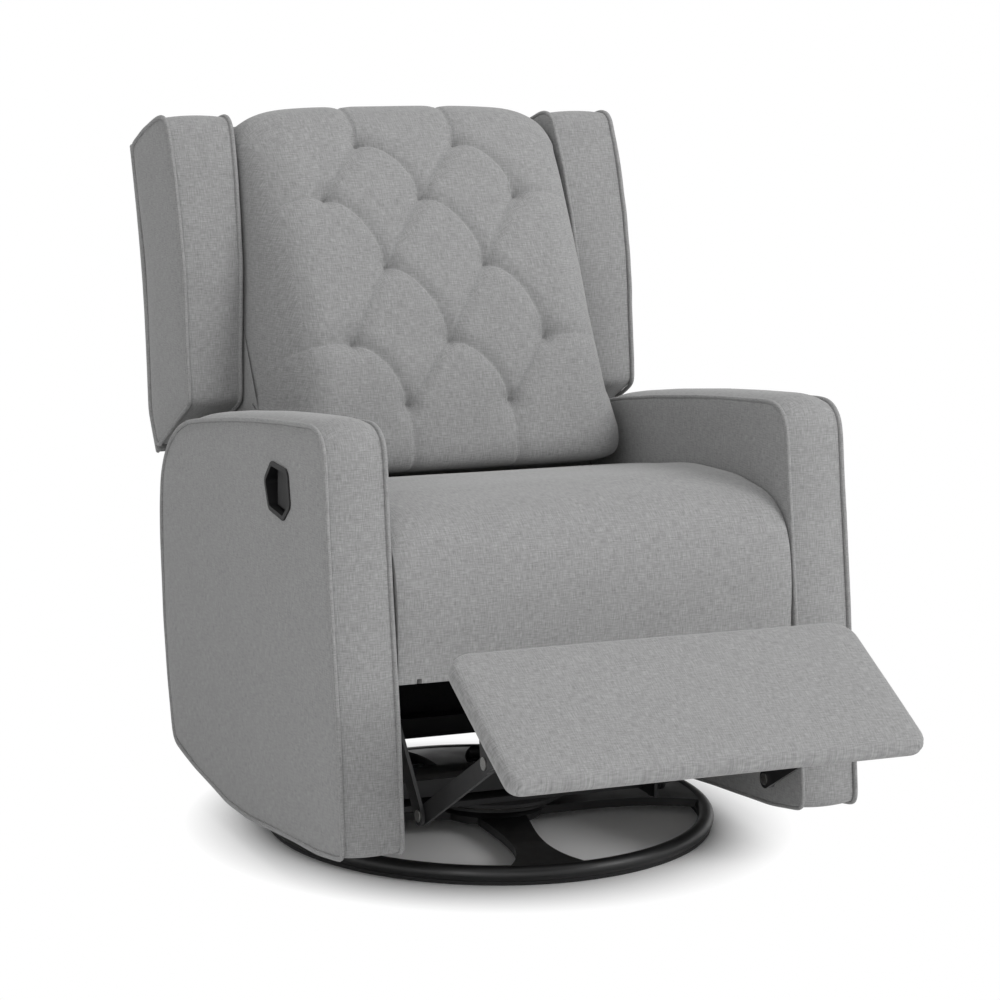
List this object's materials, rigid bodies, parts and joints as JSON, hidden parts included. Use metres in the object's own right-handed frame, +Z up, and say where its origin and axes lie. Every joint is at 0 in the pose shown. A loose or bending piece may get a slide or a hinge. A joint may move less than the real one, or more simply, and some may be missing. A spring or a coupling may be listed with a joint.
{
  "type": "swivel glider recliner",
  "caption": "Upholstered wing-back recliner with a tufted back and a fold-out footrest, gliding on links above a swivelling round base.",
  "frame": {"origin": "swivel axis on the floor, under the base ring", "axes": "+X to the right seen from the front of the chair, +Y from front to back, +Z up; the chair faces -Y"},
  "size_m": [0.778, 1.3346, 1.026],
  "materials": {
    "cover_fabric": "matte",
    "black_steel": "satin",
    "zinc_steel": "satin",
    "spring_wire": "satin",
    "black_plastic": "satin",
    "bearing_nylon": "matte",
    "strip_plastic": "matte",
    "frame_wood": "matte",
    "plywood": "matte",
    "black_lining": "matte"
  },
  "bodies": {
    "base": {"base_ring": "black_steel", "floor_strip": "strip_plastic", "base_cross": "black_steel", "lower_swivel_plate": "black_steel", "thrust_bearing": "bearing_nylon", "king_bolt": "zinc_steel", "king_nut": "zinc_steel"},
    "turntable": {"turntable_plate": "black_steel", "glide_cross_bars": "black_steel", "glide_brackets": "black_steel", "glide_top_pins": "zinc_steel"},
    "front_link_pair": {"front_glide_links": "black_steel"},
    "rear_link_pair": {"rear_glide_links": "black_steel"},
    "chassis": {"chassis_rails": "black_steel", "glide_low_pins": "zinc_steel", "cross_rails": "black_steel", "side_plates": "black_steel", "seat_tracks": "black_steel", "arm_right": "cover_fabric", "arm_left": "cover_fabric", "arm_frame_right": "frame_wood", "arm_frame_left": "frame_wood", "arm_lining_right": "black_lining", "arm_lining_left": "black_lining", "arm_bolts": "zinc_steel", "release_cup": "black_plastic", "release_pin": "zinc_steel", "rear_valance": "black_lining"},
    "lever": {"release_lever": "black_plastic"},
    "seat": {"seat_plates": "black_steel", "seat_runners": "black_steel", "seat_frame": "frame_wood", "seat_springs": "spring_wire", "seat_cushion": "cover_fabric", "swing_pins": "zinc_steel", "back_pins": "zinc_steel"},
    "back": {"back_frame": "frame_wood", "back_brackets": "black_steel", "wing_board_right": "plywood", "wing_board_left": "plywood", "wing_right": "cover_fabric", "wing_left": "cover_fabric", "rear_cover": "cover_fabric", "top_cover": "cover_fabric", "lower_rear_cover": "cover_fabric", "back_cushion": "cover_fabric"},
    "footrest_swing": {"drive_tube": "black_steel", "swing_links": "black_steel"},
    "footrest_shin": {"shin_links": "black_steel", "elbow_pins": "zinc_steel", "ankle_pins": "zinc_steel"},
    "footrest": {"pad_brackets": "black_steel", "footrest_board": "plywood", "footrest_pad": "cover_fabric"}
  },
  "joints": [
    {"name": "swivel", "type": "hinge", "parent": "base", "child": "turntable", "pos_m": [0, 0, 0.047], "axis": [0, 0, 1], "continuous": true},
    {"name": "glide_front", "type": "hinge", "parent": "turntable", "child": "front_link_pair", "pos_m": [0, -0.118, 0.158], "axis": [1, 0, 0], "range_deg": [-15, 15]},
    {"name": "glide_rear", "type": "hinge", "parent": "turntable", "child": "rear_link_pair", "pos_m": [0, 0.182, 0.158], "axis": [1, 0, 0], "range_deg": [-15, 15]},
    {"name": "chassis_level", "type": "hinge", "parent": "front_link_pair", "child": "chassis", "pos_m": [0, -0.118, 0.068], "axis": [1, 0, 0], "range_deg": [-15, 15]},
    {"name": "release_lever", "type": "hinge", "parent": "chassis", "child": "lever", "pos_m": [-0.378, -0.19, 0.545], "axis": [0, 0, 1], "range_deg": [0, 28], "stiffness_Nm_per_rad": 0.4, "springref_deg": -5.73},
    {"name": "back_recline", "type": "hinge", "parent": "seat", "child": "back", "pos_m": [0, 0.267, 0.395], "axis": [-1, 0, 0], "range_deg": [0, 32]},
    {"name": "seat_slide", "type": "slide", "parent": "chassis", "child": "seat", "axis": [0, -1, 0], "range_m": [0, 0.045]},
    {"name": "footrest_lift", "type": "hinge", "parent": "seat", "child": "footrest_swing", "pos_m": [0, -0.21112, 0.32038], "axis": [-1, 0, 0], "range_deg": [-68.3, 41.5]},
    {"name": "footrest_elbow", "type": "hinge", "parent": "footrest_swing", "child": "footrest_shin", "pos_m": [0, -0.37572, 0.13396], "axis": [-1, 0, 0], "range_deg": [-36.5, 59.5]},
    {"name": "footrest_ankle", "type": "hinge", "parent": "footrest_shin", "child": "footrest", "pos_m": [0, -0.594, 0.263], "axis": [-1, 0, 0], "range_deg": [-47.5, 29]}
  ],
  "couplings": [
    {"joint": "glide_rear", "follows": "glide_front", "ratio": 1},
    {"joint": "chassis_level", "follows": "glide_front", "ratio": -1},
    {"joint": "seat_slide", "follows": "back_recline", "m_per_rad": 0.08},
    {"joint": "footrest_elbow", "follows": "footrest_lift", "ratio": -0.8689},
    {"joint": "footrest_ankle", "follows": "footrest_lift", "ratio": 0.6885}
  ]
}
